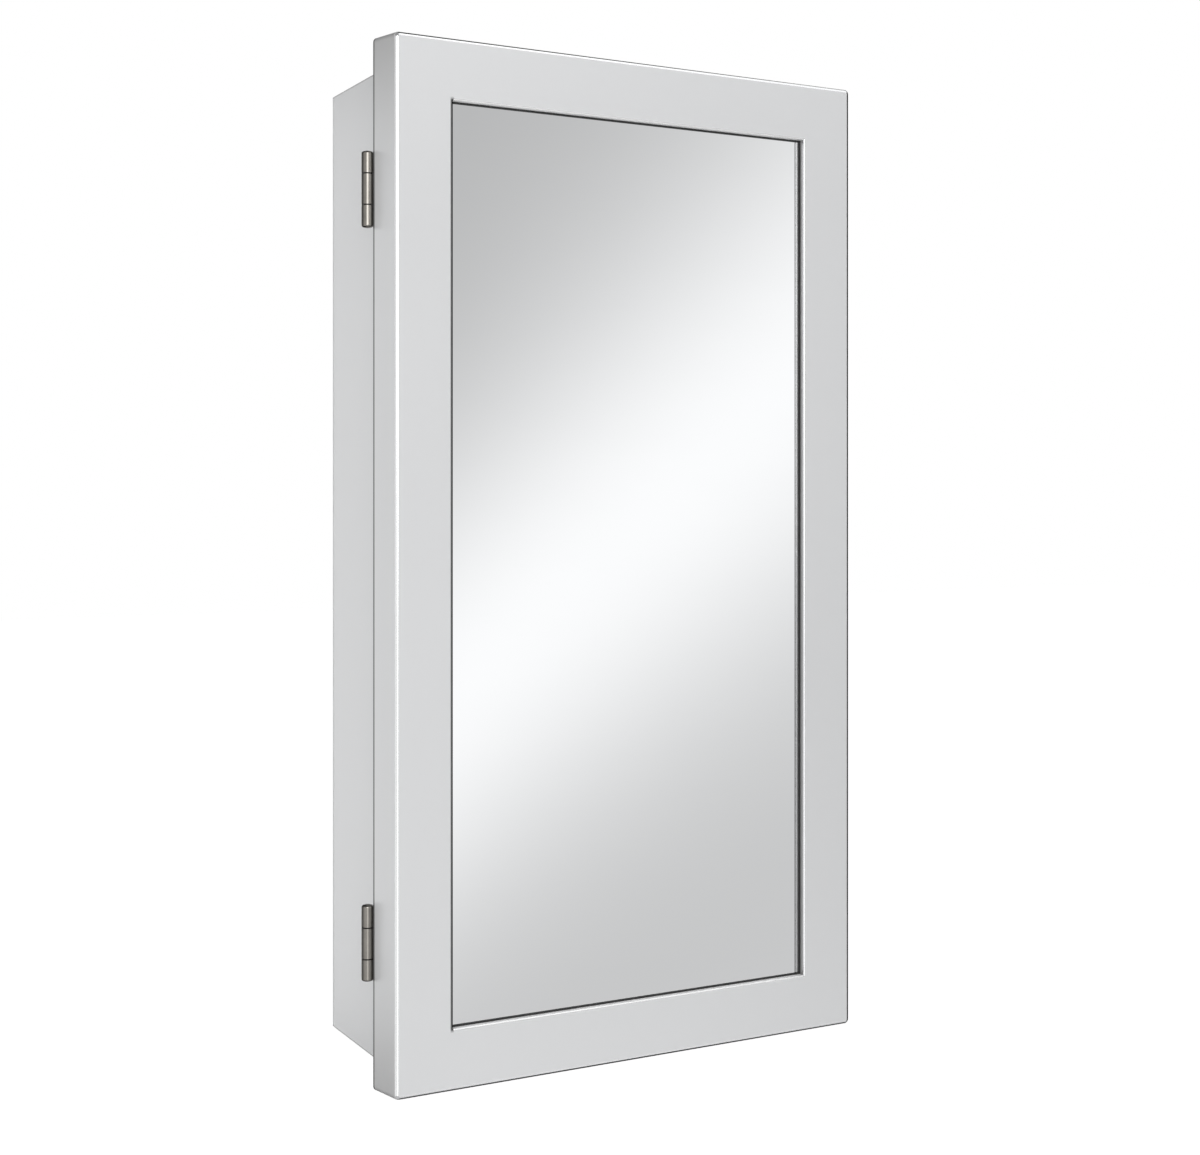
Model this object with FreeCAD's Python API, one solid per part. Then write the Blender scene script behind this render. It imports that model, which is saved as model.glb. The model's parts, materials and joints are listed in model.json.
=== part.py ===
# Surface-mounted steel medicine cabinet with a framed mirror door on two butt hinges.
# Millimetres. X to the right, Y into the wall, Z up.
# The origin is the centre of the back face, which lies against the wall.
import FreeCAD, Part
import math
import os

# Door pan
door_width = 350.0  # at its back
door_height = 668.0
door_thickness = 32.6
door_draft = 2.5  # sides lean in by this much from the back to the face
door_overhang = 12.9  # door beyond the box, at its left and right
door_raise = 2.4  # middle of the door above the middle of the box
door_sheet = 1.2
door_corner_radius = 3.2
door_edge_radius = 2.6  # rounding around the front face
frame_face_width = 39.0  # face of the frame around the mirror
reveal_depth = 4.5  # front face to the back of the mirror seat
reveal_edge_radius = 1.2
seat_margin = 1.0  # mirror seat beyond the seal
back_flange_margin = 6.0  # back flange beyond the row of hinge screws

# Mirror and the filling of the door
mirror_thickness = 4.0
mirror_lap = 7.0  # glass behind the frame on each side
seal_thickness = 1.0
seal_back_leg = 5.0
seal_lip = 1.0  # front leg showing round the glass
pad_thickness = 3.0
filling_clearance = 0.5
cover_sheet = 1.0
cover_inset = 2.0
cover_corner_radius = 3.0
cover_screw_inset = 13.0  # from the edges of the door, at the two free corners

# Box
box_depth = 106.0
box_sheet = 1.0
bend_radius = 1.5  # outside of each bend
flange_row_inset = 8.0  # box side to the screw, catch and bumper row on the front flange
front_flange_margin = 12.0  # front flange beyond that row
rear_flange_width = 12.0
wall_hole_spacing_x = 220.0
wall_hole_spacing_z = 540.0
wall_hole_radius = 3.25

# Hinges
hinge_from_end = 95.0  # door end to hinge centre
leaf_thickness = 1.5
leaf_play = 0.5  # between the closed leaves
leaf_margin = 8.0  # leaf beyond its screws
barrel_clearance = 0.1  # barrel to the back edge of the pan
end_knuckle_length = 13.0
middle_knuckle_length = 19.6
knuckle_gap = 0.3
notch_clearance = 0.5  # leaf edge to the other leaf's knuckles
roll_slit = 0.35
pin_radius = 2.25
pin_clearance = 0.05
pin_head_height = 1.4
pin_tip_radius = 2.4
pin_head_step = 0.1  # head inside the barrel's outline
hinge_screw_pitch = 28.0

# Screws
flat_shank_radius = 1.7
flat_screw_length = 8.0
pan_head_radius = 2.8
pan_head_height = 1.4
pan_shank_radius = 1.5
pan_screw_length = 7.0
screw_clearance = 0.1

# Magnetic catch, strike plate and bumpers
catch_length = 34.0
catch_width = 10.0
catch_depth = 11.0  # behind the flange
bezel_margin_x = 1.5
bezel_margin_z = 4.0
bezel_thickness = 1.0
barb_height = 1.0
barb_length = 4.0
barb_clearance = 0.2  # behind the flange
magnet_length = 22.0
magnet_thickness = 4.0
magnet_depth = 6.0
magnet_recess = 0.4  # magnet face behind the pole ends
pole_sheet = 1.2
pole_length = 25.0
catch_clearance = 0.1  # magnet and poles in their pocket
window_clearance = 0.2  # catch in the flange window
catch_gap = 0.4  # pole ends to the strike plate
strike_length = 40.0
strike_width = 14.0
strike_thickness = 1.5
strike_corner_radius = 2.0
bumper_radius = 4.0
bumper_clearance = 0.3
bumper_from_end = 30.0  # box end to bumper centre

# Shelves, their strips and clips
shelf_thickness = 5.0
shelf_spacing = 160.0
shelf_edge_chamfer = 0.8
shelf_front_clearance = 2.5  # shelf to the back of the catch
shelf_rear_clearance = 4.0
shelf_end_clearance = 1.2
strip_sheet = 0.8
strip_width = 14.0
strip_depth = 4.0
strip_foot = 4.0
strip_inset = 14.0  # shelf edge to strip centre
strip_end_gap = 38.0  # strip end to the top or bottom panel
slot_width = 8.0
slot_height = 3.0
slot_pitch = 40.0
slot_end_margin = 12.0
clip_sheet = 1.2
clip_width = 7.0
clip_ledge = 12.0
clip_drop = 10.0  # slot edge to the top of the ledge
clip_hook = 4.0
clip_clearance = 0.1

# Places worked out from the sizes above
half_door_width = door_width / 2
half_door_height = door_height / 2
half_box_width = half_door_width - door_overhang
half_box_height = half_door_height - door_overhang
half_opening_width = half_door_width - door_draft - frame_face_width
half_opening_height = half_door_height - door_draft - frame_face_width
hinge_space = 2 * leaf_thickness + leaf_play
box_front = -box_depth
door_back = box_front - hinge_space
door_front = door_back - door_thickness
frame_back = door_back - cover_sheet
seat_back = door_front + reveal_depth
mirror_front = seat_back + seal_thickness
mirror_back = mirror_front + mirror_thickness
pad_back = mirror_back + pad_thickness
seat_flange_width = mirror_lap + seal_thickness + seat_margin
front_flange_width = flange_row_inset + front_flange_margin
back_flange_width = door_overhang + flange_row_inset + back_flange_margin
flange_row = half_box_width - flange_row_inset
hinge_height = half_door_height - hinge_from_end
bore_radius = pin_radius + pin_clearance
barrel_radius = bore_radius + leaf_thickness
hinge_behind_pan = hinge_space / 2 + cover_sheet
hinge_from_side = math.sqrt((barrel_radius + barrel_clearance) ** 2 - hinge_behind_pan ** 2)
hinge_x = -(half_door_width + hinge_from_side)
hinge_y = door_back + hinge_space / 2
flat_head_radius = flat_shank_radius + leaf_thickness
hinge_length = 2 * end_knuckle_length + middle_knuckle_length + 2 * knuckle_gap
strike_face = door_back + strike_thickness
pole_front = strike_face + catch_gap
flange_back = box_front + box_sheet
shelf_front = flange_back + catch_depth + shelf_front_clearance
shelf_rear = -2 * box_sheet - shelf_rear_clearance
strip_face = half_box_width - box_sheet - strip_depth
half_shelf_width = strip_face - clip_clearance - clip_sheet - shelf_end_clearance
half_strip_length = half_box_height - box_sheet - strip_end_gap
strip_rows = {"front": shelf_front + strip_inset, "rear": shelf_rear - strip_inset}
shelf_rows = {"upper": 1, "middle": 0, "lower": -1}
hinge_middle = -door_raise / 2  # from the middle of the door, halfway to the middle of the box
hinges = {"upper": hinge_middle + hinge_height, "lower": hinge_middle - hinge_height}

V = FreeCAD.Vector
ORIGIN = V(0, 0, 0)
X_AXIS = V(1, 0, 0)
Y_AXIS = V(0, 1, 0)
Z_AXIS = V(0, 0, 1)


def xy(u, v):
    return V(u, v, 0)


def xz(u, v):
    return V(u, 0, v)


def yz(u, v):
    return V(0, u, v)


def face(corners, plane):
    """A flat face on one plane, from corners (u, v) or, where a corner is rounded, (u, v, radius)."""
    points = [plane(c[0], c[1]) for c in corners]
    radii = [c[2] if len(c) > 2 else 0.0 for c in corners]
    starts = []
    ends = []
    middles = []
    for i, corner in enumerate(points):
        to_last = (points[i - 1] - corner).normalize()
        to_next = (points[(i + 1) % len(points)] - corner).normalize()
        half_angle = to_last.getAngle(to_next) / 2
        tangent = radii[i] / math.tan(half_angle)
        inward = (to_last + to_next).normalize()
        middles.append(corner + inward * (radii[i] / math.sin(half_angle) - radii[i]))
        starts.append(corner + to_last * tangent)
        ends.append(corner + to_next * tangent)
    edges = []
    for i, radius in enumerate(radii):
        if radius > 0:
            edges.append(Part.Arc(starts[i], middles[i], ends[i]).toShape())
        edges.append(Part.LineSegment(ends[i], starts[(i + 1) % len(points)]).toShape())
    return Part.Face(Part.Wire(edges))


def rectangle(half_width, half_height, radius=0.0, u=0.0, v=0.0):
    signs = ((-1, -1), (1, -1), (1, 1), (-1, 1))
    return [(u + a * half_width, v + b * half_height, radius) for a, b in signs]


def plate(corners, y0, y1):
    """A plate parallel to the wall, from an outline in X and Z."""
    outline = face(corners, xz)
    outline.translate(Y_AXIS * y0)
    return outline.extrude(Y_AXIS * (y1 - y0))


def turned(corners, at):
    """A piece turned about the Z axis, from an outline of radius and height."""
    solid = face(corners, xz).revolve(ORIGIN, Z_AXIS, 360)
    solid.translate(at)
    return solid


def bore(radius, x, y0, y1, z):
    """A round hole or peg along Y."""
    return Part.makeCylinder(radius, y1 - y0, V(x, y0, z), Y_AXIS)


def front_edges(solid, y, half_width, half_height):
    """The edges of a solid on the plane at y, inside a rectangle about the middle."""
    found = []
    for edge in solid.Edges:
        box = edge.BoundBox
        flat = abs(box.YMin - y) < 1e-4 and abs(box.YMax - y) < 1e-4
        near = max(-box.XMin, box.XMax) < half_width + 1e-3
        if flat and near and max(-box.ZMin, box.ZMax) < half_height + 1e-3:
            found.append(edge)
    return found


def save(name, *solids):
    shape = solids[0] if len(solids) == 1 else Part.makeCompound(solids)
    shape.exportStep("parts/" + name + ".step")


def save_raised(name, *solids):
    """Saves a piece that is drawn about the middle of the door."""
    save(name, *[solid.translated(Z_AXIS * door_raise) for solid in solids])


# Screws: each is driven into the door from behind, and is made at the origin with its head to the wall.
def flat_screw():
    outline = [
        (0, 0),
        (flat_head_radius, 0),
        (flat_shank_radius, leaf_thickness),
        (flat_shank_radius, flat_screw_length),
        (0, flat_screw_length),
    ]
    return screw(outline)


def pan_screw():
    outline = [
        (0, -pan_head_height),
        (pan_head_radius, -pan_head_height),
        (pan_head_radius, 0),
        (pan_shank_radius, 0),
        (pan_shank_radius, pan_screw_length),
        (0, pan_screw_length),
    ]
    return screw(outline)


def screw(outline):
    solid = turned(outline, ORIGIN)
    solid.rotate(ORIGIN, X_AXIS, 90)
    return solid


def placed_screws(model, spots, y):
    """Copies of a screw at spots (x, z), with the head seated at y."""
    return [model.translated(V(x, y, z)) for x, z in spots]


def screw_holes(radius, spots, y0, y1):
    return [bore(radius + screw_clearance, x, y0, y1, z) for x, z in spots]


def countersinks(spots, y):
    """Seats for flat screws in a hinge leaf, with the wide end at y."""
    top = flat_head_radius + screw_clearance
    bottom = flat_shank_radius + screw_clearance
    return [Part.makeCone(top, bottom, leaf_thickness, V(x, y, z), -Y_AXIS) for x, z in spots]


def hinge_screw_spots():
    spots = []
    for height in hinges.values():
        for end in (-1, 1):
            spots.append((-flange_row, height + end * hinge_screw_pitch / 2))
    return spots


def cover_screw_spots():
    x = half_door_width - cover_screw_inset
    z = half_door_height - cover_screw_inset
    return [(x, -z), (x, z)]


# Box
def wall_panel(reach, span, turn):
    """One wall of the box: sheet bent to a front and a rear flange, with mitred ends."""
    inner_bend = bend_radius - box_sheet
    rear = -box_sheet
    section = [
        (-reach, box_front, bend_radius),
        (-reach + front_flange_width, box_front),
        (-reach + front_flange_width, flange_back),
        (-reach + box_sheet, flange_back, inner_bend),
        (-reach + box_sheet, rear - box_sheet, inner_bend),
        (-reach + rear_flange_width, rear - box_sheet),
        (-reach + rear_flange_width, rear),
        (-reach, rear, bend_radius),
    ]
    strip = face(section, xy).extrude(Z_AXIS * span)
    strip.translate(Z_AXIS * (-span / 2))
    width = max(front_flange_width, rear_flange_width)
    mitre = [
        (-reach, -span / 2),
        (-reach + width, -span / 2 + width),
        (-reach + width, span / 2 - width),
        (-reach, span / 2),
    ]
    panel = strip.common(plate(mitre, box_front, 0))
    panel.rotate(ORIGIN, Y_AXIS, turn)
    return panel


def side_panels():
    """The two sides of the box. The right one has the window for the catch in its front flange."""
    left = wall_panel(half_box_width, 2 * half_box_height, 0)
    right = wall_panel(half_box_width, 2 * half_box_height, 180)
    half_window_x = catch_width / 2 + window_clearance
    half_window_z = catch_length / 2 + window_clearance
    window = plate(rectangle(half_window_x, half_window_z, 0, flange_row), box_front, flange_back)
    return left, right.cut(window)


def back_panel():
    sheet = plate(rectangle(half_box_width, half_box_height), -box_sheet, 0)
    half_x = wall_hole_spacing_x / 2
    half_z = wall_hole_spacing_z / 2
    spots = [(a * half_x, b * half_z) for a in (-1, 1) for b in (-1, 1)]
    return sheet.cut([bore(wall_hole_radius, x, -box_sheet, 0, z) for x, z in spots])


# Shelves
def slot_heights():
    count = int((half_strip_length - slot_end_margin) // slot_pitch)
    return [step * slot_pitch for step in range(-count, count + 1)]


def shelf_strip(side, y):
    """A hat-section strip on the inside of a side panel, with a row of slots for the clips."""
    half_web = strip_width / 2
    half_foot = half_web + strip_foot
    foot_face = strip_depth - strip_sheet
    section = [
        (strip_depth, -half_foot),
        (strip_depth, -half_web + strip_sheet),
        (strip_sheet, -half_web + strip_sheet),
        (strip_sheet, half_web - strip_sheet),
        (strip_depth, half_web - strip_sheet),
        (strip_depth, half_foot),
        (foot_face, half_foot),
        (foot_face, half_web),
        (0, half_web),
        (0, -half_web),
        (foot_face, -half_web),
        (foot_face, -half_foot),
    ]
    corners = [(side * (strip_face + u), y + v) for u, v in section]
    strip = face(corners, xy).extrude(Z_AXIS * (2 * half_strip_length))
    strip.translate(Z_AXIS * -half_strip_length)
    web = rectangle(strip_sheet / 2, slot_height / 2, 0, side * (strip_face + strip_sheet / 2))
    slot = plate(web, y - slot_width / 2, y + slot_width / 2)
    return strip.cut([slot.translated(Z_AXIS * height) for height in slot_heights()])


def shelf_slot(row):
    """Height of the lower edge of the slots that carry a shelf."""
    return row * round(shelf_spacing / slot_pitch) * slot_pitch - slot_height / 2


def shelf_clip(side, y, slot_edge):
    """A bent strap hooked through a slot, with a ledge under the shelf."""
    behind = strip_sheet + clip_clearance
    front = clip_clearance
    section = [
        (behind + clip_sheet, clip_sheet),
        (-front - clip_sheet, clip_sheet),
        (-front - clip_sheet, -clip_drop),
        (-front - clip_ledge, -clip_drop),
        (-front - clip_ledge, -clip_drop - clip_sheet),
        (-front, -clip_drop - clip_sheet),
        (-front, 0),
        (behind, 0),
        (behind, -clip_hook),
        (behind + clip_sheet, -clip_hook),
    ]
    corners = [(side * (strip_face + u), slot_edge + v) for u, v in section]
    return plate(corners, y - clip_width / 2, y + clip_width / 2)


def glass_shelf(row):
    """A sheet of glass with ground edges, lying on its four clips."""
    corner = V(-half_shelf_width, shelf_front, shelf_slot(row) - clip_drop)
    glass = Part.makeBox(2 * half_shelf_width, shelf_rear - shelf_front, shelf_thickness, corner)
    return glass.makeChamfer(shelf_edge_chamfer, glass.Edges)


# Hinges
def hinge_leaf(side, height, own_knuckles, other_knuckles):
    """A leaf with rolled knuckles: side is 1 for the box leaf, -1 for the door leaf with its screws."""
    near = side * leaf_play / 2
    far = side * (leaf_play / 2 + leaf_thickness)
    y0 = min(near, far)
    y1 = max(near, far)
    half = hinge_length / 2
    free_edge = -flange_row - hinge_x + leaf_margin
    outline = [
        (0, -half),
        (free_edge, -half),
        (free_edge, half),
        (0, half),
    ]
    leaf = plate(outline, y0, y1)
    notch_edge = barrel_radius + notch_clearance
    for low, high in other_knuckles:
        notch = [(0, low), (notch_edge, low), (notch_edge, high), (0, high)]
        leaf = leaf.cut(plate(notch, y0, y1))
    knuckles = [Part.makeCylinder(barrel_radius, high - low, V(0, 0, low)) for low, high in own_knuckles]
    leaf = leaf.fuse(knuckles).removeSplitter()
    roll_end = near - side * roll_slit
    gap = [(0, near), (barrel_radius, near), (barrel_radius, roll_end), (0, roll_end)]
    slit = face(gap, xy).extrude(Z_AXIS * hinge_length)
    slit.translate(Z_AXIS * -half)
    hole = Part.makeCylinder(bore_radius, hinge_length, V(0, 0, -half))
    leaf = leaf.cut([slit, hole])
    leaf.translate(V(hinge_x, hinge_y, height))
    return leaf.cut(countersinks(hinge_screw_spots(), hinge_y + near)) if side < 0 else leaf


def knuckle_spans():
    """Height ranges of the middle knuckle, the end knuckles, and the notches that clear each of them."""
    half_middle = middle_knuckle_length / 2
    half_notch = half_middle + knuckle_gap
    half = hinge_length / 2
    middle = [(-half_middle, half_middle)]
    ends = [(-half, -half_notch), (half_notch, half)]
    middle_notch = [(-half_notch, half_notch)]
    end_notches = [(-half, -half_middle), (half_middle, half)]
    return middle, ends, middle_notch, end_notches


def hinge_pin(height):
    half = hinge_length / 2
    head = barrel_radius - pin_head_step
    outline = [
        (0, -half - pin_head_height),
        (pin_tip_radius, -half - pin_head_height),
        (head, -half),
        (pin_radius, -half),
        (pin_radius, half),
        (head, half),
        (pin_tip_radius, half + pin_head_height),
        (0, half + pin_head_height),
    ]
    return turned(outline, V(hinge_x, hinge_y, height))


# Door
def opening_corners(margin):
    """The outline of the mirror opening, grown by a margin."""
    return rectangle(half_opening_width + margin, half_opening_height + margin)


def pan_block(y0, y1, margin):
    """A block whose sides follow the draft of the pan, a margin inside them, with rounded corners."""
    insets = [margin + door_draft * (frame_back - y) / (frame_back - door_front) for y in (y0, y1)]
    w0, w1 = [half_door_width - inset for inset in insets]
    h0, h1 = [half_door_height - inset for inset in insets]
    block = Part.makeWedge(-w0, y0, -h0, -h1, -w1, w0, y1, h0, h1, w1)
    corners = [edge for edge in block.Edges if edge.BoundBox.YLength > (y1 - y0) / 2]
    return block.makeFillet(door_corner_radius - margin, corners)


def door_pan():
    """The pressed pan: face, sides, back flange, reveal and the seat behind it that carries the mirror."""
    inner_front = door_front + door_sheet
    outer = pan_block(door_front, frame_back, 0)
    edges = front_edges(outer, door_front, half_door_width, half_door_height)
    outer = outer.makeFillet(door_edge_radius, edges)
    hollow = pan_block(inner_front, frame_back - door_sheet, door_sheet)
    edges = front_edges(hollow, inner_front, half_door_width, half_door_height)
    hollow = hollow.makeChamfer(door_edge_radius - door_sheet, edges)
    lip = plate(opening_corners(door_sheet), inner_front, seat_back)
    seat = plate(opening_corners(seat_flange_width), seat_back - door_sheet, seat_back)
    opening = plate(opening_corners(0), door_front, seat_back)
    window_width = half_door_width - back_flange_width
    window_height = half_door_height - back_flange_width
    window = plate(rectangle(window_width, window_height), frame_back - door_sheet, frame_back)
    pan = outer.cut(hollow).fuse([lip, seat]).cut([opening, window]).removeSplitter()
    edges = front_edges(pan, door_front, half_opening_width, half_opening_height)
    pan = pan.makeFillet(reveal_edge_radius, edges)
    holes = screw_holes(flat_shank_radius, hinge_screw_spots(), frame_back - door_sheet, frame_back)
    holes += screw_holes(pan_shank_radius, cover_screw_spots(), frame_back - door_sheet, frame_back)
    return pan.cut(holes)


def mirror_glass():
    return plate(opening_corners(mirror_lap), mirror_front, mirror_back)


def mirror_seal():
    """Edge channel round the glass: front leg on the seat, edge and back leg."""
    block = plate(opening_corners(mirror_lap + seal_thickness), seat_back, mirror_back + seal_thickness)
    sight = plate(opening_corners(-seal_lip), seat_back, mirror_front)
    back = plate(opening_corners(mirror_lap - seal_back_leg), mirror_back, mirror_back + seal_thickness)
    return block.cut([sight, mirror_glass(), back])


def mirror_pad():
    return plate(opening_corners(mirror_lap - seal_back_leg - filling_clearance), mirror_back, pad_back)


def door_core():
    margin = back_flange_width + filling_clearance
    return plate(rectangle(half_door_width - margin, half_door_height - margin), pad_back, frame_back)


def back_cover():
    corners = rectangle(half_door_width - cover_inset, half_door_height - cover_inset, cover_corner_radius)
    holes = screw_holes(flat_shank_radius, hinge_screw_spots(), frame_back, door_back)
    holes += screw_holes(pan_shank_radius, cover_screw_spots(), frame_back, door_back)
    return plate(corners, frame_back, door_back).cut(holes)


def strike_plate():
    corners = rectangle(strike_width / 2, strike_length / 2, strike_corner_radius, flange_row)
    return plate(corners, door_back, strike_face)


# Catch
def pole_span():
    return magnet_thickness + 2 * pole_sheet


def pole_back():
    return pole_front + magnet_recess + magnet_depth


def catch_housing():
    """Moulded body: front bezel, a barb at each end that snaps behind the flange, a magnet pocket."""
    half = catch_length / 2
    barb = flange_back + barb_clearance
    back = flange_back + catch_depth
    side_view = [
        (box_front, -half),
        (barb, -half),
        (barb, -half - barb_height),
        (barb + barb_length, -half),
        (back, -half),
        (back, half),
        (barb + barb_length, half),
        (barb, half + barb_height),
        (barb, half),
        (box_front, half),
    ]
    housing = face(side_view, yz).extrude(X_AXIS * catch_width)
    housing.translate(X_AXIS * (flange_row - catch_width / 2))
    bezel = rectangle(catch_width / 2 + bezel_margin_x, half + bezel_margin_z, 0, flange_row)
    housing = housing.fuse(plate(bezel, box_front - bezel_thickness, box_front)).removeSplitter()
    half_pocket_x = pole_span() / 2 + catch_clearance
    half_pocket_z = pole_length / 2 + catch_clearance
    pocket = rectangle(half_pocket_x, half_pocket_z, 0, flange_row)
    return housing.cut(plate(pocket, box_front - bezel_thickness, pole_back()))


def catch_magnet():
    outline = rectangle(magnet_thickness / 2, magnet_length / 2, 0, flange_row)
    return plate(outline, pole_front + magnet_recess, pole_back())


def pole_plates():
    offset = (magnet_thickness + pole_sheet) / 2
    plates = []
    for side in (-1, 1):
        outline = rectangle(pole_sheet / 2, pole_length / 2, 0, flange_row + side * offset)
        plates.append(plate(outline, pole_front, pole_back()))
    return plates


def bumpers():
    tip = door_back + bumper_clearance
    height = half_box_height - bumper_from_end
    return [bore(bumper_radius, flange_row, tip, box_front, end * height) for end in (-1, 1)]


os.makedirs("parts", exist_ok=True)

left_side, right_side = side_panels()
save("left_side_panel", left_side)
save("right_side_panel", right_side)
save("top_panel", wall_panel(half_box_height, 2 * half_box_width, 90))
save("bottom_panel", wall_panel(half_box_height, 2 * half_box_width, -90))
save("back_panel", back_panel())

sides = {"left": -1, "right": 1}
for row_name, row_y in strip_rows.items():
    for side_name, side_sign in sides.items():
        save("shelf_strip_" + row_name + "_" + side_name, shelf_strip(side_sign, row_y))
for shelf_name, shelf_row in shelf_rows.items():
    save(shelf_name + "_shelf", glass_shelf(shelf_row))
    edge = shelf_slot(shelf_row)
    clips = [shelf_clip(s, y, edge) for s in sides.values() for y in strip_rows.values()]
    save(shelf_name + "_shelf_clips", *clips)

middle_knuckle, end_knuckles, middle_gap, end_gaps = knuckle_spans()
for hinge_name, hinge_z in hinges.items():
    save_raised(hinge_name + "_hinge_box_leaf", hinge_leaf(1, hinge_z, end_knuckles, middle_gap))
    save_raised(hinge_name + "_hinge_door_leaf", hinge_leaf(-1, hinge_z, middle_knuckle, end_gaps))
save_raised("hinge_pins", *[hinge_pin(hinge_z) for hinge_z in hinges.values()])
save_raised("hinge_screws", *placed_screws(flat_screw(), hinge_screw_spots(), hinge_y - leaf_play / 2))

save_raised("door_frame", door_pan())
save_raised("mirror_glass", mirror_glass())
save_raised("mirror_seal", mirror_seal())
save_raised("mirror_pad", mirror_pad())
save_raised("door_core", door_core())
save_raised("door_back_cover", back_cover())
save_raised("cover_screws", *placed_screws(pan_screw(), cover_screw_spots(), door_back))
save("strike_plate", strike_plate())

save("catch_housing", catch_housing())
save("catch_magnet", catch_magnet())
save("catch_pole_plates", *pole_plates())
save("door_bumpers", *bumpers())
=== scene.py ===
# Looks of the medicine cabinet: finishes, small hardware, studio and camera. Metres, in the part's frame.
import json
import math

import bmesh
import bpy
from mathutils import Matrix, Vector


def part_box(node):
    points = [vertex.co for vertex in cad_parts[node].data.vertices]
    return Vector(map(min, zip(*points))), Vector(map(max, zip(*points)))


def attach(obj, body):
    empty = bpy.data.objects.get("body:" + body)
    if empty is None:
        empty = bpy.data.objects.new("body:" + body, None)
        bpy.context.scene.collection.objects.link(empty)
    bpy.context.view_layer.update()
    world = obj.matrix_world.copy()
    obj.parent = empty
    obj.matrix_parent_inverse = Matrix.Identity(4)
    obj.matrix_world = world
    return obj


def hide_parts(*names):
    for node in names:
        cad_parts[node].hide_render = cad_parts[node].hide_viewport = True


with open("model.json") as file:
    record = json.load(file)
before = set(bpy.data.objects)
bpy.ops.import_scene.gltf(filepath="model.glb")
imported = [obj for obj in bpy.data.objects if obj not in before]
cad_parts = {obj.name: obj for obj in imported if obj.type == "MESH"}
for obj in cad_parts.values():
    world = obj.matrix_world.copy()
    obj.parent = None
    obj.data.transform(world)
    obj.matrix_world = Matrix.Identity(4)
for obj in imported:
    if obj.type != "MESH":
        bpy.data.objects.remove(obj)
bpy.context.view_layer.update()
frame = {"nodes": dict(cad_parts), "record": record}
nodes = frame["nodes"]
record = frame["record"]
body_of = {node: body for body, members in record["behaviour"]["bodies"].items() for node in members}
slot_of = {part["node"]: part["material_slot"] for part in record["subparts"]}

MM = 0.001

# Hardware sizes, as in the part
PIN_RADIUS = 2.25 * MM
PIN_HEAD_HEIGHT = 1.4 * MM
FLAT_HEAD_RADIUS = 3.2 * MM
FLAT_SHANK_RADIUS = 1.7 * MM
PAN_HEAD_RADIUS = 2.8 * MM
PAN_HEAD_HEIGHT = 1.4 * MM
PAN_SHANK_RADIUS = 1.5 * MM

# Detail of the hardware
PAN_PROFILE = (0.70, 1.0), (0.90, 0.80), (0.98, 0.50), (1.0, 0.0)  # shares of the head's radius and height
POINT_LENGTH = 0.7 * MM
POINT_TAPER = 0.55  # end of a screw to its shank
RECESS_REACH = 0.58  # arm of a screw's cross to the radius of its flat
RECESS_HALF_WIDTH = 0.13  # half the width of an arm, likewise
RECESS_TAPER = 0.45  # floor of the cross to its mouth
BUMPER_FOOT = 1.2 * MM  # straight part below the dome
EDGE_ROUNDING = {
    "upper_hinge_box_leaf": 0.25 * MM,
    "lower_hinge_box_leaf": 0.25 * MM,
    "upper_hinge_door_leaf": 0.25 * MM,
    "lower_hinge_door_leaf": 0.25 * MM,
    "upper_shelf_clips": 0.25 * MM,
    "middle_shelf_clips": 0.25 * MM,
    "lower_shelf_clips": 0.25 * MM,
    "shelf_strip_front_left": 0.15 * MM,
    "shelf_strip_front_right": 0.15 * MM,
    "shelf_strip_rear_left": 0.15 * MM,
    "shelf_strip_rear_right": 0.15 * MM,
    "catch_housing": 0.35 * MM,
    "catch_pole_plates": 0.2 * MM,
    "strike_plate": 0.3 * MM,
}

# Enamel of the door and the box
ENAMEL_METAL = 0.22  # share of metal flake
ENAMEL_ROUGHNESS = 0.30
WEAR_REACH = 1.2 * MM  # round sharp edges, where the coat is paler
WEAR = 0.35
WEAR_SHADE = 0.78
RIM_DEPTH = 1.3 * MM  # front face to the end of the polish on the rounded edges of the door
RIM_RUB = 0.7  # how far these edges are polished
RIM_GLOSS = 0.6  # how much smoother they are
HEM_SHADOW_WIDTH = 2.2 * MM  # painted shadow: a dark line along the back edge of the door
HEM_SHADOW_SHADE = 0.16
FRAME_WIDTH = 41.5 * MM  # outside of the door to the opening for the mirror
OPENING_BRINK = 2.3 * MM  # round the opening, taken in with its walls
OPENING_DEPTH = 6.0 * MM  # front face to behind its walls
LEFT_WALL_SHADOW = 0.03  # painted shadow on the left wall of the opening and its edge
RIGHT_WALL_SHADOW = 0.28  # painted shadow on the right wall
LEDGE_LIGHT = 0.93  # painted light on the upper and lower walls
SIDE_DEPTH = 5.0 * MM  # how far in the painted shade on the left and right sides of the door reaches
SIDE_END_SHADOW = 0.50  # painted shade on the ends of the left side
RIGHT_EDGE_SHADOW = 0.15  # painted shade on the rounded edge on the right
BOX_SHADOW_START = 0.9965  # painted shadow: a line along the ends of the left side of the box, in half heights of the box
BOX_SHADOW_FULL = 0.998
BOX_SHADOW_SHADE = 0.30
COVER_DEPTH = 2.0 * MM  # back of the door frame to behind the back cover
COVER_SHADE = 0.50  # plainer, duller coat on the back cover
COVER_DULLING = 0.25

# Silver of the mirror
SEAL_LIP = 1.0 * MM  # seal showing round the glass
GHOST_REACH = 4.0 * MM  # lip to beyond its painted reflection in the silver
GHOST_SHADE = 0.10

# Nickel of the hinges
JOINT_RISE = 9.95 * MM  # middle of a hinge to the joints between its knuckles
JOINT_SHADE = 0.02
BARREL_FADE = 3.3 * MM  # right side of the pins to beyond the painted shade on the barrels
# Painted shade on the rear of the hinge barrels
BARREL_SHADOW = (0.045, 0.042, 0.038, 1)

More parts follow.
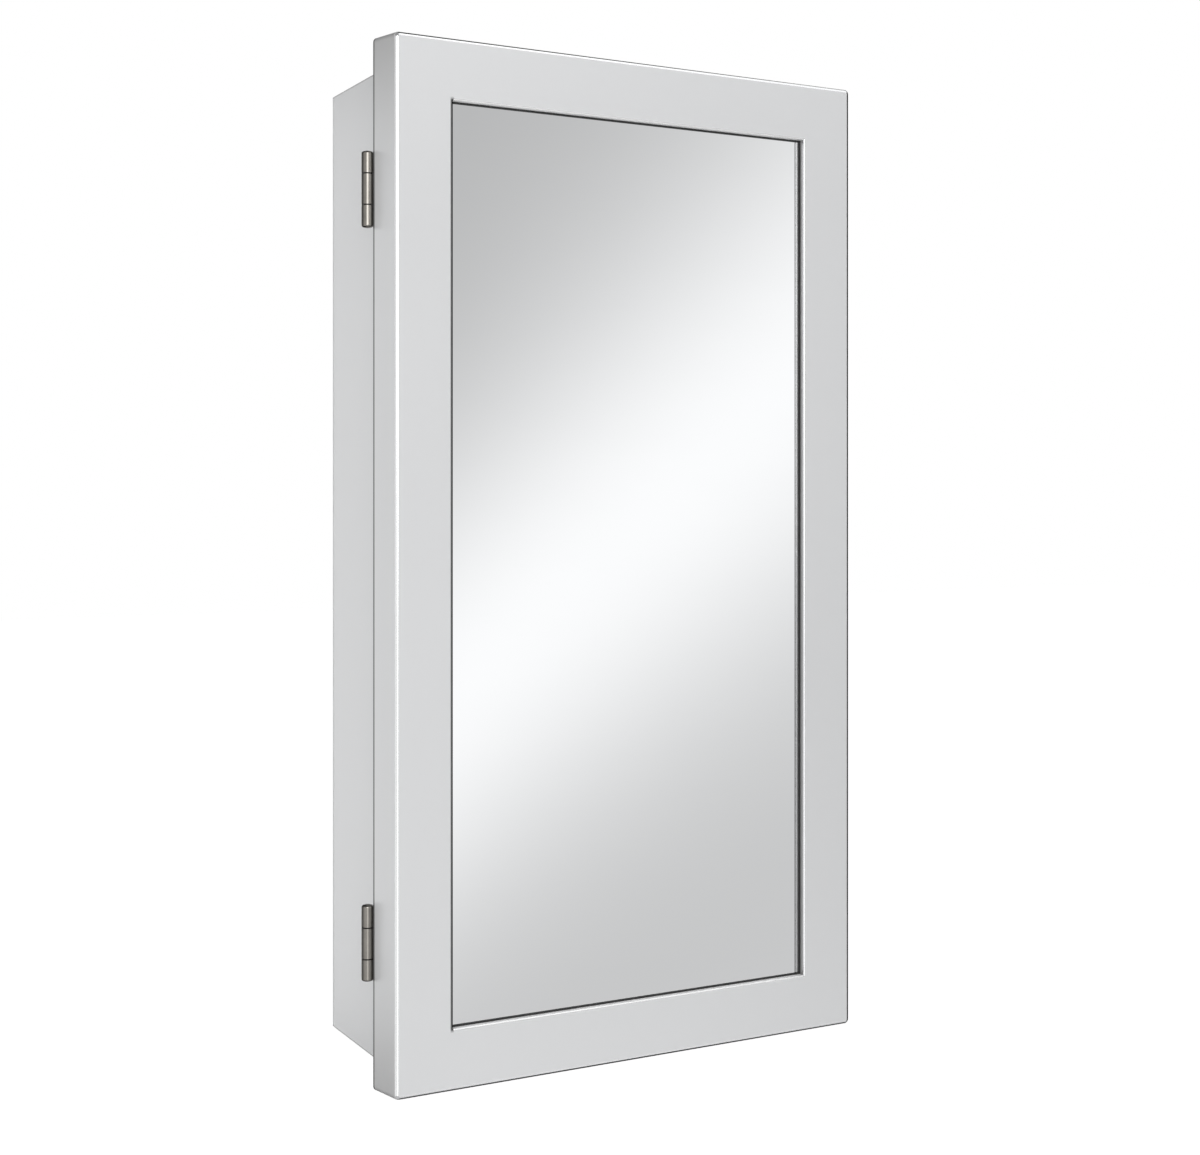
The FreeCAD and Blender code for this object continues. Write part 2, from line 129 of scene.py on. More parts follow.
# Mesh work
MERGE_DISTANCE = 0.001 * MM
FLAT_ANGLE = math.radians(0.5)
SHARP_ANGLE = math.radians(38)
BEVEL_SEGMENTS = 2
LATHE_STEPS = 48
DOME_STEPS = 8

# Camera, fitted to the edges of the door in the photograph
IMAGE_WIDTH = 1200
IMAGE_HEIGHT = 1155
HORIZON_ROW = 493.6
CAMERA_PLACE = (-0.5865, -1.1781, 0.0472)
CAMERA_TURN = math.radians(28.30)
CAMERA_LENS = 53.71  # millimetres, on a sensor 36 mm wide

# Studio
FLOOR_HEIGHT = -1.4  # the cabinet hangs at eye level
FLOOR_SIZE = 40.0
FLOOR_CELLS = 8
FLOOR_GLOW = 0.85
FLOOR_ALBEDO = 0.8
AMBIENT = 0.555  # light from every side
AMBIENT_SLOPE = 0.223  # how much it falls towards the upper side of the band
BAND_LIGHT = 0.478  # a soft bright band right round the studio
BAND_WIDTH = 0.111
BAND_SPREAD = 2.01  # how much wider the band is a quarter turn along
BAND_NORMAL = (-0.578, -0.339, 0.742)
BAND_COURSE = (0.640, 0.376, 0.670)
FLAG_SIDE = (0.77, 0.64, 0.0)  # dark cloth on the right and behind, for crisp edge lines
FLAG_DEPTH = 0.97
FLAG_EDGE = 0.12  # width of its soft edge

# Light of the front lamp, from its middle to its sides and from its foot to its top
LAMP_SIDES = (0.50, 1.0), (0.70, 0.25), (0.85, 0.08), (1.0, 0.0)
LAMP_RISE = (0.0, 0.0), (0.08, 0.375), (0.40, 0.375), (0.60, 1.0), (0.92, 1.0), (1.0, 0.0)


class Wire:
    """A socket in a node tree. Sums on wires add Math nodes, and node() adds any other node."""

    def __init__(self, tree, socket=None):
        self.tree = tree
        self.socket = socket

    def node(self, kind, settings=None, sockets=None, output=0):
        """Adds a node, sets it, fills its sockets with values or wires, and returns one output."""
        added = self.tree.nodes.new("ShaderNode" + kind)
        for name, value in (settings or {}).items():
            if name == "stops":
                lay_stops(added.color_ramp, value)
            else:
                setattr(added, name, value)
        for key, value in (sockets or {}).items():
            if isinstance(value, Wire):
                self.tree.links.new(value.socket, added.inputs[key])
            else:
                added.inputs[key].default_value = value
        return Wire(self.tree, added.outputs[output] if added.outputs else None)

    def sum(self, operation, first, second):
        return self.node("Math", {"operation": operation}, {0: first, 1: second})

    def __add__(self, other):
        return self.sum("ADD", self, other)

    def __radd__(self, other):
        return self.sum("ADD", other, self)

    def __sub__(self, other):
        return self.sum("SUBTRACT", self, other)

    def __rsub__(self, other):
        return self.sum("SUBTRACT", other, self)

    def __mul__(self, other):
        return self.sum("MULTIPLY", self, other)

    def __rmul__(self, other):
        return self.sum("MULTIPLY", other, self)

    def __truediv__(self, other):
        return self.sum("DIVIDE", self, other)

    def __rpow__(self, other):
        return self.sum("POWER", other, self)


def lay_stops(colour_ramp, stops):
    """Puts (position, colour) stops on a colour ramp in place of its own two."""
    while len(colour_ramp.elements) < len(stops):
        colour_ramp.elements.new(1.0)
    for element, (position, colour) in zip(colour_ramp.elements, stops):
        element.position = position
        element.color = colour


def grey(value):
    return (value, value, value, 1)


def dot(wire, vector):
    """The part of a vector wire that lies along a direction."""
    return wire.node("VectorMath", {"operation": "DOT_PRODUCT"}, {0: wire, 1: vector}, "Value")


def mixed(wire, factor, first, second):
    """A colour between two others."""
    return wire.node("Mix", {"data_type": "RGBA"}, {0: factor, 6: first, 7: second}, 2)


def noise(place, scale, detail=2.0, roughness=0.5):
    sockets = {"Vector": place, "Scale": scale, "Detail": detail, "Roughness": roughness}
    return place.node("TexNoise", None, sockets)


def stretched(place, scale):
    """Object coordinates scaled on each axis, for grain that runs one way."""
    return place.node("Mapping", None, {"Vector": place, "Scale": scale})


def bump(height, strength, distance):
    return height.node("Bump", None, {"Strength": strength, "Distance": distance, "Height": height})


def ramp(wire, *stops):
    """A smooth grey ramp through (position, value) stops."""
    laid = [(position, grey(value)) for position, value in stops]
    return wire.node("ValToRGB", {"stops": laid}, {"Fac": wire})


def rubbed_edges(place, radius):
    """1 along the outer and inner edges of a piece, fading to 0 over the radius."""
    soft = place.node("Bevel", {"samples": 6}, {"Radius": radius})
    true = place.node("NewGeometry", None, None, "Normal")
    return ramp(1 - dot(soft, true), (0.004, 0.0), (0.12, 1.0))


def abs_of(wire):
    return wire.sum("ABSOLUTE", wire, 0.0)


def spot_on(place, axis):
    """One coordinate of a place."""
    return place.node("SeparateXYZ", None, {"Vector": place}, axis)


def along(place, axis, start, end, *stops):
    """A grey ramp from a start to an end on one axis."""
    return ramp((spot_on(place, axis) - start) / (end - start), *stops)


def new_finish(name):
    """An empty material and its Object coordinates, to build a finish on."""
    material = bpy.data.materials.new(name)
    material.use_nodes = True
    material.node_tree.nodes.clear()
    return material, Wire(material.node_tree).node("TexCoord", None, None, "Object")


def finished(material, place, sockets):
    """Ends a material with a Principled shader that has these sockets."""
    surface = place.node("BsdfPrincipled", None, sockets)
    place.node("OutputMaterial", None, {"Surface": surface})
    return material


# Masks for the enamel, from 0 to 1, most of them for painted light and shade
def over_rim(place, *stops):
    """A ramp over the polished edges round the front of the door, from its face back."""
    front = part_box("door_frame")[0].y
    return along(place, "Y", front, front + RIM_DEPTH, *stops)


def behind_rim(place):
    return over_rim(place, (0.8, 0.0), (1.0, 1.0))


def opening_light_and_shade(place):
    """Masks for painted shadow on the left wall of the mirror's opening with its edge and on the right wall,
    and for painted light on the upper and lower walls.
    """
    low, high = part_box("door_frame")
    left = low.x + FRAME_WIDTH
    right = high.x - FRAME_WIDTH
    bottom = low.z + FRAME_WIDTH
    top = high.z - FRAME_WIDTH
    inside = (0.0, 0.0), (0.002, 1.0), (0.998, 1.0), (1.0, 0.0)
    across = along(place, "X", left - OPENING_BRINK, right + OPENING_BRINK, *inside)
    upright = along(place, "Z", bottom - OPENING_BRINK, top + OPENING_BRINK, *inside)
    deep = along(place, "Y", low.y, low.y + OPENING_DEPTH, (0.9, 1.0), (1.0, 0.0))
    opening = across * upright * deep
    # Painted shadow on the left wall of the opening and its edge
    left_wall_shadow = opening * along(place, "X", left, left + MM, (0.2, 1.0), (0.6, 0.0))
    on_right = along(place, "X", right - MM, right, (0.4, 0.0), (0.8, 1.0))
    # Painted shadow on the right wall of the opening
    right_wall_shadow = opening * behind_rim(place) * on_right
    turned_in = over_rim(place, (0.01, 0.0), (0.05, 1.0))
    # Painted light on the upper and lower walls of the opening
    lit_ledges = opening * turned_in * (1 - left_wall_shadow) * (1 - on_right)
    return left_wall_shadow, right_wall_shadow, lit_ledges


def left_side_end_shadow(place):
    """Painted shade on the left side of the door, rising towards its upper and lower ends."""
    low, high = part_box("door_frame")
    from_middle = abs_of(spot_on(place, "Z") - (low.z + high.z) / 2) / ((high.z - low.z) / 2)
    ends = ramp(from_middle, (0.70, 0.0), (0.80, 0.2), (0.88, 0.42), (1.0, 0.85))
    side = along(place, "X", low.x, low.x + SIDE_DEPTH, (0.75, 1.0), (0.9, 0.0))
    return ends * side * behind_rim(place)


def box_edge_shadow(place):
    """Painted shadow: a line along the upper and lower ends of the left side of the box."""
    low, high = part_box("left_side_panel")
    skin = along(place, "X", low.x - MM, low.x + MM, (0.2, 0.0), (0.4, 1.0), (0.6, 1.0), (0.8, 0.0))
    behind = along(place, "Y", low.y, low.y + MM, (0.0, 0.0), (0.2, 1.0))
    ends = ramp(abs_of(spot_on(place, "Z")) / high.z, (BOX_SHADOW_START, 0.0), (BOX_SHADOW_FULL, 1.0))
    return ends * skin * behind


# Finishes
def silver_enamel():
    """Satin silver-grey enamel: fine flake, faint orange peel and clouding, polished edges on the door, and
    painted light and shade on the door and box.
    """
    material, place = new_finish("silver_enamel")
    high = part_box("door_frame")[1]
    rim = over_rim(place, (0.0, 0.0), (0.03, 1.0), (0.9, 1.0), (1.0, 0.0))
    # Painted shadow along the back edge of the door
    hem_shadow = along(place, "Y", high.y - HEM_SHADOW_WIDTH, high.y, (0.0, 0.0), (0.2, 1.0), (0.95, 1.0), (1.0, 0.0))
    # Painted shade on the rounded right edge of the door
    right_rim_shadow = along(place, "X", high.x - SIDE_DEPTH, high.x, (0.0, 0.0), (0.1, 1.0)) * rim
    behind = high.y + COVER_DEPTH
    cover = along(place, "Y", high.y, behind, (0.05, 0.0), (0.2, 1.0), (0.6, 1.0), (0.8, 0.0))
    left_wall_shadow, right_wall_shadow, lit_ledges = opening_light_and_shade(place)
    clouds = noise(place, 6.0, 4.0)
    peel = noise(place, 700.0, 2.0)
    flake = noise(place, 5200.0, 1.0)
    coat = mixed(place, clouds * 0.7 + flake * 0.3, (0.674, 0.680, 0.688, 1), (0.718, 0.724, 0.732, 1))
    colour = mixed(place, rubbed_edges(place, WEAR_REACH) * WEAR, coat, grey(WEAR_SHADE))
    # Painted light and shade: darker ends of the door's left side, a dark line along the box's ends, a dark
    # right edge, shadowed left and right walls of the opening, lighter upper and lower walls and a dark line
    # along the door's back edge; the cover's plainer coat is its own colour.
    for mask, shade in (
        (left_side_end_shadow(place), SIDE_END_SHADOW),
        (box_edge_shadow(place), BOX_SHADOW_SHADE),
        (right_rim_shadow, RIGHT_EDGE_SHADOW),
        (left_wall_shadow, LEFT_WALL_SHADOW),
        (right_wall_shadow, RIGHT_WALL_SHADOW),
        (lit_ledges, LEDGE_LIGHT),
        (cover, COVER_SHADE),
        (hem_shadow, HEM_SHADOW_SHADE),
    ):
        colour = mixed(place, mask, colour, grey(shade))
    satin = ENAMEL_ROUGHNESS + clouds * 0.06 + peel * 0.03
    return finished(material, place, {
        "Base Color": colour,
        "Metallic": ENAMEL_METAL + rim * (1 - lit_ledges) * RIM_RUB,
        "Roughness": satin * (1 - rim * RIM_GLOSS) + cover * COVER_DULLING,
        "Normal": bump(peel, 0.05, 0.1 * MM),
    })


def mirror():
    """Silvered float glass, with faint wiping marks and a painted reflection of the seal, a dark line in the
    silver on the right.
    """
    material, place = new_finish("mirror")
    wipes = noise(stretched(place, (9.0, 9.0, 30.0)), 1.0, 4.0, 0.6)
    silver = mixed(place, wipes, (0.926, 0.935, 0.944, 1), (0.944, 0.951, 0.960, 1))
    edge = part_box("door_frame")[1].x - FRAME_WIDTH - SEAL_LIP
    # Painted reflection of the seal: a dark line near the right edge of the glass
    ghost = along(place, "X", edge - GHOST_REACH, edge, (0.18, 0.0), (0.27, 1.0), (0.40, 1.0), (0.49, 0.0))
    return finished(material, place, {
        "Base Color": mixed(place, ghost, silver, grey(GHOST_SHADE)),
        "Metallic": 1.0,
        "Roughness": 0.004 + wipes * 0.010,
    })


def black_seal():
    """Matt black rubber with a fine grain and a trace of dust."""
    material, place = new_finish("black_seal")
    grain = noise(place, 900.0, 3.0)
    return finished(material, place, {
        "Base Color": mixed(place, grain * 0.5, grey(0.012), grey(0.035)),
        "Roughness": 0.62 + grain * 0.2,
        "Normal": bump(grain, 0.2, 0.1 * MM),
    })


def pad_felt():
    """Grey felt with matted fibres."""
    material, place = new_finish("pad_felt")
    fibres = noise(stretched(place, (900.0, 900.0, 260.0)), 1.0, 4.0, 0.7)
    return finished(material, place, {
        "Base Color": mixed(place, fibres, grey(0.40), (0.62, 0.61, 0.60, 1)),
        "Roughness": 0.95,
        "Normal": bump(fibres, 0.6, 0.4 * MM),
    })


def core_board():
    """Brown board with a fibrous liner."""
    material, place = new_finish("core_board")
    fibres = noise(stretched(place, (60.0, 400.0, 900.0)), 1.0, 3.0)
    return finished(material, place, {
        "Base Color": mixed(place, fibres, (0.42, 0.31, 0.19, 1), (0.58, 0.45, 0.30, 1)),
        "Roughness": 0.9,
        "Normal": bump(fibres, 0.3, 0.2 * MM),
    })


def shelf_glass():
    """Clear float glass, greener towards its ground edges."""
    material, place = new_finish("shelf_glass")
    low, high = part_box("middle_shelf")
    middle = (low + high) / 2
    half = (high - low) / 2
    end = abs_of(spot_on(place, "X")) / half.x
    side = abs_of(spot_on(place, "Y") - middle.y) / half.y
    edge = ramp(place.sum("MAXIMUM", end, side), (0.95, 0.0), (0.995, 1.0))
    specks = noise(place, 160.0, 2.0)
    return finished(material, place, {
        "Base Color": mixed(place, edge, (0.95, 0.985, 0.97, 1), (0.42, 0.72, 0.60, 1)),
        "Roughness": 0.01 + specks * 0.02 + edge * 0.18,
        "IOR": 1.52,
        "Transmission Weight": 1.0,
    })


def knuckle_joints(place):
    """1 along the joints between the knuckles of both hinges."""
    height = spot_on(place, "Z")
    gaps = []
    for node in ("upper_hinge_door_leaf", "lower_hinge_door_leaf"):
        low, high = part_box(node)
        gaps.append(abs_of(abs_of(height - (low.z + high.z) / 2) - JOINT_RISE))
    return ramp(place.sum("MINIMUM", *gaps) / MM, (0.3, 1.0), (0.55, 0.0))


def nickel():
    """Stained nickel plate with drawn lines and bright edges, painted shade on the rear of the barrels, and
    dark joints in them.
    """
    material, place = new_finish("nickel")
    lines = noise(stretched(place, (1500.0, 1500.0, 60.0)), 1.0, 3.0, 0.6)
    stain = noise(place, 120.0, 3.0)
    rubbed = rubbed_edges(place, 0.6 * MM)
    plate = mixed(place, stain, (0.17, 0.160, 0.146, 1), (0.26, 0.246, 0.226, 1))
    bright = mixed(place, rubbed * 0.25, plate, (0.62, 0.60, 0.56, 1))
    low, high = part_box("hinge_pins")
    barrel = along(place, "X", low.x, high.x + BARREL_FADE, (0.6, 1.0), (0.8, 0.0))
    # Painted shade on the rear of the barrels
    barrel_shadow = along(place, "Y", low.y, high.y, (0.12, 0.0), (0.42, 1.0)) * barrel
    rolled = mixed(place, barrel_shadow, bright, BARREL_SHADOW)
    return finished(material, place, {
        "Base Color": mixed(place, knuckle_joints(place) * barrel, rolled, grey(JOINT_SHADE)),
        "Metallic": 1.0,
        "Roughness": 0.08 + lines * 0.06 + stain * 0.04,
        "Normal": bump(lines, 0.08, 0.05 * MM),
    })


def zinc_steel():
    """Bright zinc plate: a fine crystal pattern and faint blue and straw tints."""
    material, place = new_finish("zinc_steel")
    crystals = place.node("TexVoronoi", None, {"Vector": place, "Scale": 420.0}, "Color")
    grain = noise(place, 1100.0, 2.0)
    tint = noise(place, 45.0, 2.0)
    rubbed = rubbed_edges(place, 0.5 * MM)
    plate = mixed(place, tint, (0.56, 0.585, 0.62, 1), (0.63, 0.615, 0.57, 1))
    bright = dot(crystals, (0.3, 0.4, 0.3))
    return finished(material, place, {
        "Base Color": mixed(place, rubbed * 0.5, plate, grey(0.74)),
        "Metallic": 1.0,
        "Roughness": 0.24 + bright * 0.14 + grain * 0.06,
        "Normal": bump(grain, 0.1, 0.05 * MM),
    })


def white_plastic():
    """Moulded satin plastic with a fine spark-eroded grain."""
    material, place = new_finish("white_plastic")
    grain = noise(place, 2200.0, 2.0)
    shade = noise(place, 60.0, 3.0)
    return finished(material, place, {
        "Base Color": mixed(place, shade, (0.74, 0.735, 0.71, 1), (0.81, 0.805, 0.785, 1)),
        "Roughness": 0.42 + grain * 0.16,
        "Normal": bump(grain, 0.15, 0.05 * MM),
    })


def magnet_ferrite():
    """Ground ferrite: near black, with grinding lines and chipped specks."""
    material, place = new_finish("magnet_ferrite")
    lines = noise(stretched(place, (300.0, 300.0, 3000.0)), 1.0, 2.0)
    specks = ramp(noise(place, 700.0, 2.0), (0.62, 0.0), (0.72, 1.0))
    return finished(material, place, {
        "Base Color": mixed(place, specks * 0.5 + lines * 0.3, grey(0.045), grey(0.13)),
        "Roughness": 0.5 + lines * 0.2,
        "Normal": bump(lines, 0.15, 0.05 * MM),
    })


def bumper_rubber():
    """Grey rubber with a fine, dusty grain."""
    material, place = new_finish("bumper_rubber")
    grain = noise(place, 800.0, 3.0)
    return finished(material, place, {
        "Base Color": mixed(place, grain, grey(0.33), grey(0.46)),
        "Roughness": 0.48 + grain * 0.2,
        "Normal": bump(grain, 0.12, 0.1 * MM),
    })


FINISHES = {
    build.__name__: build()
    for build in (
        silver_enamel, mirror, black_seal, pad_felt, core_board, shelf_glass,
        nickel, zinc_steel, white_plastic, magnet_ferrite, bumper_rubber,
    )
}
for name, obj in nodes.items():
    obj.material_slots[0].material = FINISHES[slot_of[name]]


# Shapes
def merged(node):
    """A copy of a CAD node's mesh, with its loose triangles joined and its flat faces made whole."""
    bm = bmesh.new()
    bm.from_mesh(nodes[node].data)
    bmesh.ops.remove_doubles(bm, verts=bm.verts, dist=MERGE_DISTANCE)
    bmesh.ops.dissolve_limit(bm, angle_limit=FLAT_ANGLE, verts=bm.verts, edges=bm.edges)
    return bm


def softened(node, width):
    """A CAD node's shape with its sharp edges rounded."""
    bm = merged(node)
    edges = [edge for edge in bm.edges if edge.is_manifold and edge.calc_face_angle() > SHARP_ANGLE]
    bmesh.ops.bevel(
        bm, geom=edges, offset=width, offset_type="OFFSET", affect="EDGES",
        segments=BEVEL_SEGMENTS, profile=0.5, clamp_overlap=True, material=-1,
    )
    return bm


def solids_of(node):
    """The middle and the half size of each separate solid of a CAD node."""
    bm = merged(node)
    found = set()
    solids = []
    for start in bm.verts:
        if start in found:
            continue
        found.add(start)
        reached = [start]
        for vert in reached:
            for edge in vert.link_edges:
                other = edge.other_vert(vert)
                if other not in found:
                    found.add(other)
                    reached.append(other)
        low = Vector(min(vert.co[axis] for vert in reached) for axis in range(3))
        high = Vector(max(vert.co[axis] for vert in reached) for axis in range(3))
        solids.append(((low + high) / 2, (high - low) / 2))
    bm.free()
    return solids


def lathe(profile):
    """A solid turned about Z, from (radius, height) corners that start and end on the axis."""
    bm = bmesh.new()
    verts = [bm.verts.new((radius, 0, height)) for radius, height in profile]
    edges = [bm.edges.new(pair) for pair in zip(verts, verts[1:])]
    bmesh.ops.spin(
        bm, geom=verts + edges, cent=(0, 0, 0), axis=(0, 0, 1),
        angle=math.tau, steps=LATHE_STEPS, use_merge=True,
    )
    bmesh.ops.remove_doubles(bm, verts=bm.verts, dist=MERGE_DISTANCE)
    bmesh.ops.recalc_face_normals(bm, faces=bm.faces)
    return bm


def dome(radius, base, top):
    """Corners of a rounded end, from its rim at the base to the middle of its top."""
    turns = [step / DOME_STEPS * math.pi / 2 for step in range(DOME_STEPS)]
    rim = [(radius * math.cos(turn), base + (top - base) * math.sin(turn)) for turn in turns]
    return rim + [(0, top)]


def pulled(bm, edges, scale, rise):
    """Extrudes a loop of edges about the Z axis by a scale and a rise, and returns the new loop."""
    added = bmesh.ops.extrude_edge_only(bm, edges=edges)["geom"]
    verts = [item for item in added if isinstance(item, bmesh.types.BMVert)]
    bmesh.ops.scale(bm, verts=verts, vec=(scale, scale, 1))
    bmesh.ops.translate(bm, verts=verts, vec=(0, 0, rise))
    fresh = set(verts)
    return [item for item in added if isinstance(item, bmesh.types.BMEdge) and fresh.issuperset(item.verts)]


def cross_screw(outline, arm, slot):
    """A screw along Z with a cross recess in its flat top, from (radius, height) corners, rim first."""
    bm = bmesh.new()
    top = outline[0][1]
    rim = bmesh.ops.create_circle(bm, segments=LATHE_STEPS, radius=outline[0][0])["verts"]
    bmesh.ops.translate(bm, verts=rim, vec=(0, 0, top))
    rim_edges = list(bm.edges)
    corners = [(arm, -slot), (arm, slot), (slot, slot)]
    quarters = [Matrix.Rotation(turn * math.pi / 2, 3, "Z") for turn in range(4)]
    recess = [bm.verts.new(turn @ Vector((x, y, top))) for turn in quarters for x, y in corners]
    recess_edges = [bm.edges.new(pair) for pair in zip(recess, recess[1:] + recess[:1])]
    bmesh.ops.bridge_loops(bm, edges=rim_edges + recess_edges)
    floor = pulled(bm, recess_edges, RECESS_TAPER, -arm)
    bmesh.ops.contextual_create(bm, geom=floor)
    edges = rim_edges
    for (radius, height), (lower_radius, lower_height) in zip(outline, outline[1:]):
        edges = pulled(bm, edges, lower_radius / radius, lower_height - height)
    bmesh.ops.contextual_create(bm, geom=edges)
    bmesh.ops.recalc_face_normals(bm, faces=bm.faces)
    return bm


def copies(shape, places):
    """One mesh with a copy of a shape at each place, a 4 x 4 matrix."""
    model = bpy.data.meshes.new("shape")
    shape.to_mesh(model)
    shape.free()
    bm = bmesh.new()
    for place in places:
        laid = model.copy()
        laid.transform(place)
        bm.from_mesh(laid)
        bpy.data.meshes.remove(laid)
    bpy.data.meshes.remove(model)
    return bm


def stand_in(bm, node):
    """A piece that stands for a CAD node, on the same body and in the same finish."""
    mesh = bpy.data.meshes.new(node + "_shape")
    bm.to_mesh(mesh)
    bm.free()
    if "custom_normal" in mesh.attributes:
        mesh.attributes.remove(mesh.attributes["custom_normal"])
    mesh.shade_smooth()
    mesh.set_sharp_from_angle(angle=SHARP_ANGLE)
    mesh.materials.clear()
    mesh.materials.append(FINISHES[slot_of[node]])
    piece = bpy.data.objects.new(node + "_shape", mesh)
    bpy.context.scene.collection.objects.link(piece)
    piece.modifiers.new("even_normals", "WEIGHTED_NORMAL").keep_sharp = True
    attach(piece, body_of[node])
    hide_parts(node)


# Hardware
def rounded_hardware():
    """Pressed, rolled and moulded pieces, with the rounded edges that their making leaves."""
    for node, width in EDGE_ROUNDING.items():
        stand_in(softened(node, width), node)


def hinge_pins():
    """Pins with a domed head at each end."""
    solids = solids_of("hinge_pins")
    half = solids[0][1]
    base = half.z - PIN_HEAD_HEIGHT
    head = dome(half.x, base, half.z)
    upper = [(PIN_RADIUS, 0), (PIN_RADIUS, base)] + head
    lower = [(radius, -height) for radius, height in reversed(upper)]
    places = [Matrix.Translation(middle) for middle, _ in solids]
    stand_in(copies(lathe(lower + upper[1:]), places), "hinge_pins")


def screws_for(node, head, shank):
    """Screws for a CAD node, each with its top at the back of its solid, from the corners of their head."""
    solids = solids_of(node)
    length = 2 * solids[0][1].y
    flat, top = head[0]
    outline = head + [(shank, top - length + POINT_LENGTH), (shank * POINT_TAPER, top - length)]
    facing = Matrix.Rotation(-math.pi / 2, 4, "X")
    places = []
    for middle, half in solids:
        places.append(Matrix.Translation(middle + Vector((0, half.y - top, 0))) @ facing)
    screw = cross_screw(outline, flat * RECESS_REACH, flat * RECESS_HALF_WIDTH)
    stand_in(copies(screw, places), node)


def hinge_screws():
    """Countersunk cross-recess screws, whose heads face the cabinet."""
    head = [(FLAT_HEAD_RADIUS, 0), (FLAT_SHANK_RADIUS, FLAT_SHANK_RADIUS - FLAT_HEAD_RADIUS)]
    screws_for("hinge_screws", head, FLAT_SHANK_RADIUS)


def cover_screws():
    """Pan-head cross-recess screws on the back of the door."""
    head = [(width * PAN_HEAD_RADIUS, height * PAN_HEAD_HEIGHT) for width, height in PAN_PROFILE]
    screws_for("cover_screws", head + [(PAN_SHANK_RADIUS, 0)], PAN_SHANK_RADIUS)


def door_bumpers():
    """Rubber buttons with a straight foot and a domed face towards the door."""
    solids = solids_of("door_bumpers")
    half = solids[0][1]
    height = 2 * half.y
    button = lathe([(0, 0), (half.x, 0)] + dome(half.x, BUMPER_FOOT, height))
    facing = Matrix.Rotation(math.pi / 2, 4, "X")
    places = [Matrix.Translation(middle + Vector((0, half.y, 0))) @ facing for middle, _ in solids]
    stand_in(copies(button, places), "door_bumpers")


rounded_hardware()
hinge_pins()
hinge_screws()
cover_screws()
door_bumpers()


# Studio
def softbox(name, place, width, height, power, target=(0, 0, 0)):
    """A rectangular lamp that faces a target."""
    lamp = bpy.data.lights.new(name, "AREA")
    lamp.shape = "RECTANGLE"
    lamp.size = width
    lamp.size_y = height
    lamp.energy = power
    box = bpy.data.objects.new(name, lamp)
    box.location = place
    box.rotation_euler = (Vector(target) - Vector(place)).to_track_quat("-Z", "Y").to_euler()
    bpy.context.scene.collection.objects.link(box)
    return lamp


def fade_out(lamp):
    """Lets a lamp fade towards its sides and ends, and dims its lower half."""
    lamp.use_nodes = True
    lamp.node_tree.nodes.clear()
    spot = Wire(lamp.node_tree).node("NewGeometry", None, None, "Parametric")
    from_middle = abs_of(spot_on(spot, "X") - 0.5) * 2
    strength = ramp(from_middle, *LAMP_SIDES) * ramp(spot_on(spot, "Y"), *LAMP_RISE)
    glow = spot.node("Emission", None, {"Color": grey(1.0), "Strength": strength})
    spot.node("OutputLight", None, {"Surface": glow})


def studio_world():
    """Even light with one soft bright band right round, and a dark cloth on the right and behind.

    The camera sees plain white, also through glass.
    """
    world = bpy.data.worlds.new("studio")
    bpy.context.scene.world = world
    world.use_nodes = True
    world.node_tree.nodes.clear()
    look = Wire(world.node_tree).node("TexCoord", None, None, "Generated")
    across = dot(look, BAND_NORMAL)
    width = BAND_WIDTH * BAND_SPREAD ** dot(look, BAND_COURSE)
    share = across / width
    band = math.e ** (-1 * share * share)
    even = AMBIENT - AMBIENT_SLOPE * across + BAND_LIGHT * band
    flag = ramp(dot(look, FLAG_SIDE), (0.0, 0.0), (FLAG_EDGE, 1.0))
    light = even * (1 - FLAG_DEPTH * flag)
    seen = look.node("LightPath", None, None, "Is Camera Ray")
    through = look.node("LightPath", None, None, "Is Transmission Ray")
    plain = look.sum("MAXIMUM", seen, through)
    strength = plain + (1 - plain) * light
    background = look.node("Background", None, {"Color": grey(1.0), "Strength": strength})
    look.node("OutputWorld", None, {"Surface": background})


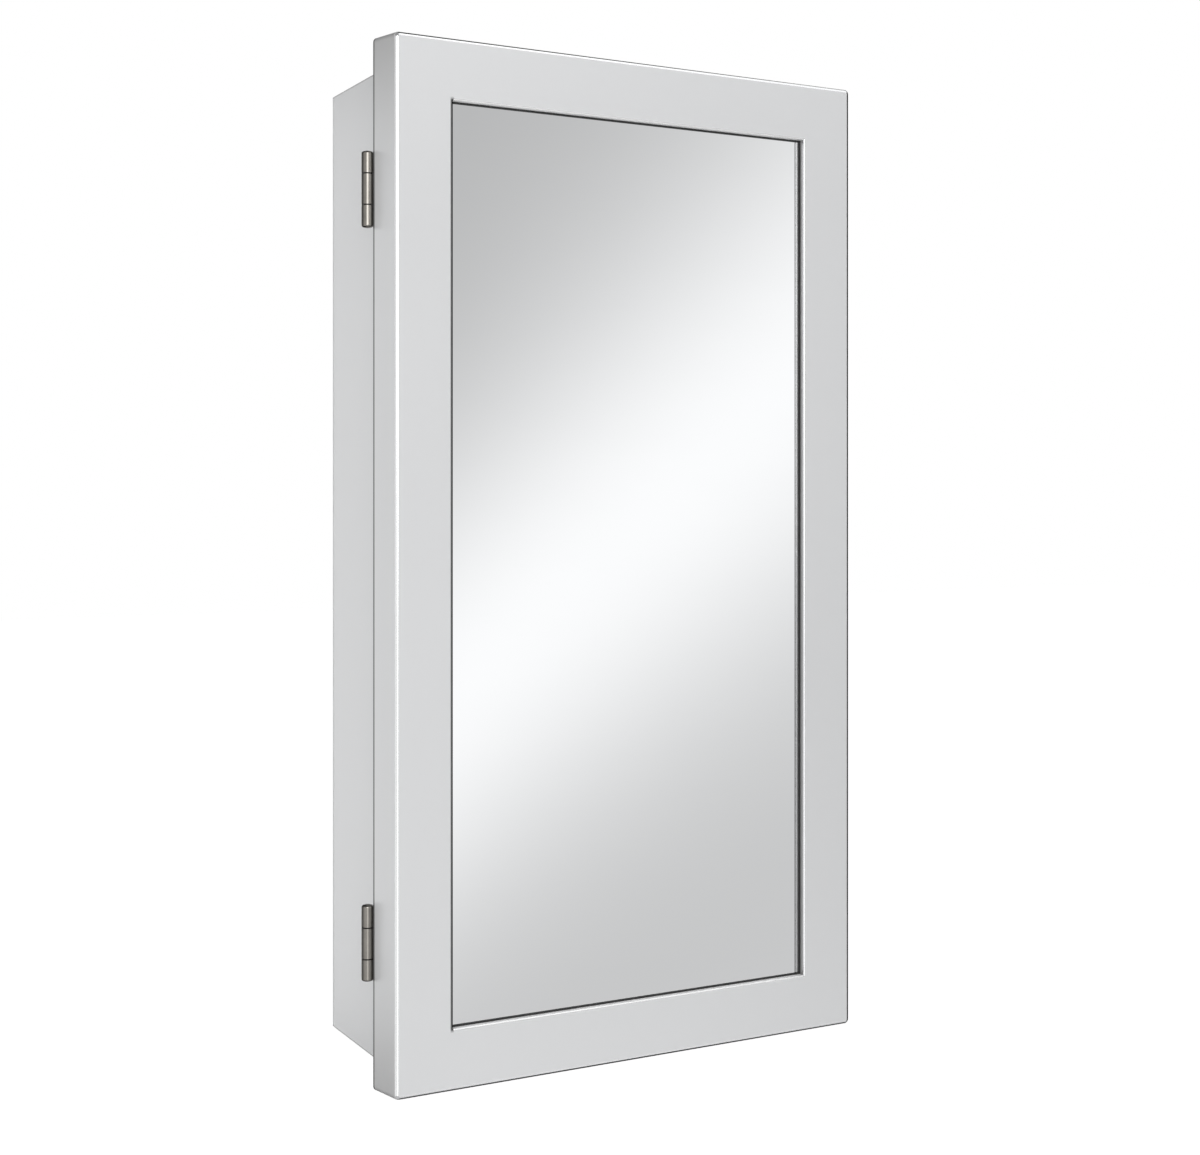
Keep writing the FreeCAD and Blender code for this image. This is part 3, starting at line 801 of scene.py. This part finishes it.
def studio_floor():
    """A white floor that keeps shadows, and that mirrors look through to the backdrop."""
    bm = bmesh.new()
    bmesh.ops.create_grid(bm, x_segments=FLOOR_CELLS, y_segments=FLOOR_CELLS, size=FLOOR_SIZE / 2)
    bmesh.ops.translate(bm, verts=bm.verts, vec=(0, 0, FLOOR_HEIGHT))
    mesh = bpy.data.meshes.new("floor")
    bm.to_mesh(mesh)
    bm.free()
    floor = bpy.data.objects.new("floor", mesh)
    bpy.context.scene.collection.objects.link(floor)
    material, place = new_finish("floor_white")
    paint = place.node("BsdfDiffuse", None, {"Color": grey(FLOOR_ALBEDO)})
    glow = place.node("Emission", None, {"Color": grey(1.0), "Strength": FLOOR_GLOW})
    lit = place.node("AddShader", None, {0: paint, 1: glow})
    seen = place.node("LightPath", None, None, "Is Camera Ray")
    open_air = place.node("BsdfTransparent", None, {"Color": grey(1.0)})
    glossy = place.node("LightPath", None, None, "Is Glossy Ray")
    plain = place.node("MixShader", None, {0: seen, 1: paint, 2: lit})
    surface = place.node("MixShader", None, {0: glossy, 1: plain, 2: open_air})
    place.node("OutputMaterial", None, {"Surface": surface})
    mesh.materials.append(material)


def place_camera():
    """A level camera, shifted so that the horizon lies at its row of the picture."""
    camera = bpy.data.objects.new("camera", bpy.data.cameras.new("camera"))
    camera.data.lens = CAMERA_LENS
    camera.data.shift_y = (HORIZON_ROW - IMAGE_HEIGHT / 2) / IMAGE_WIDTH
    camera.location = CAMERA_PLACE
    camera.rotation_euler = (math.pi / 2, 0, -CAMERA_TURN)
    bpy.context.scene.collection.objects.link(camera)
    bpy.context.scene.camera = camera


bpy.context.scene.view_settings.view_transform = "Standard"
place_camera()
studio_world()
studio_floor()
softbox("left_softbox", (-2.25, -0.62, -0.05), 2.6, 2.6, 15.0)
fade_out(softbox("front_softbox", (-0.83, -2.00, 0.04), 2.0, 2.56, 64.3, (0, 0, 0.04)))
softbox("top_softbox", (0.75, -0.75, 1.30), 1.8, 1.1, 8.4)
softbox("low_softbox", (0.95, -0.90, -1.10), 1.8, 0.8, 2.4)
softbox("side_softbox", (-0.70, 1.38, -0.05), 0.8, 1.5, 4.5)
softbox("back_softbox", (1.1, 2.0, 0.5), 0.9, 0.9, 14.0)
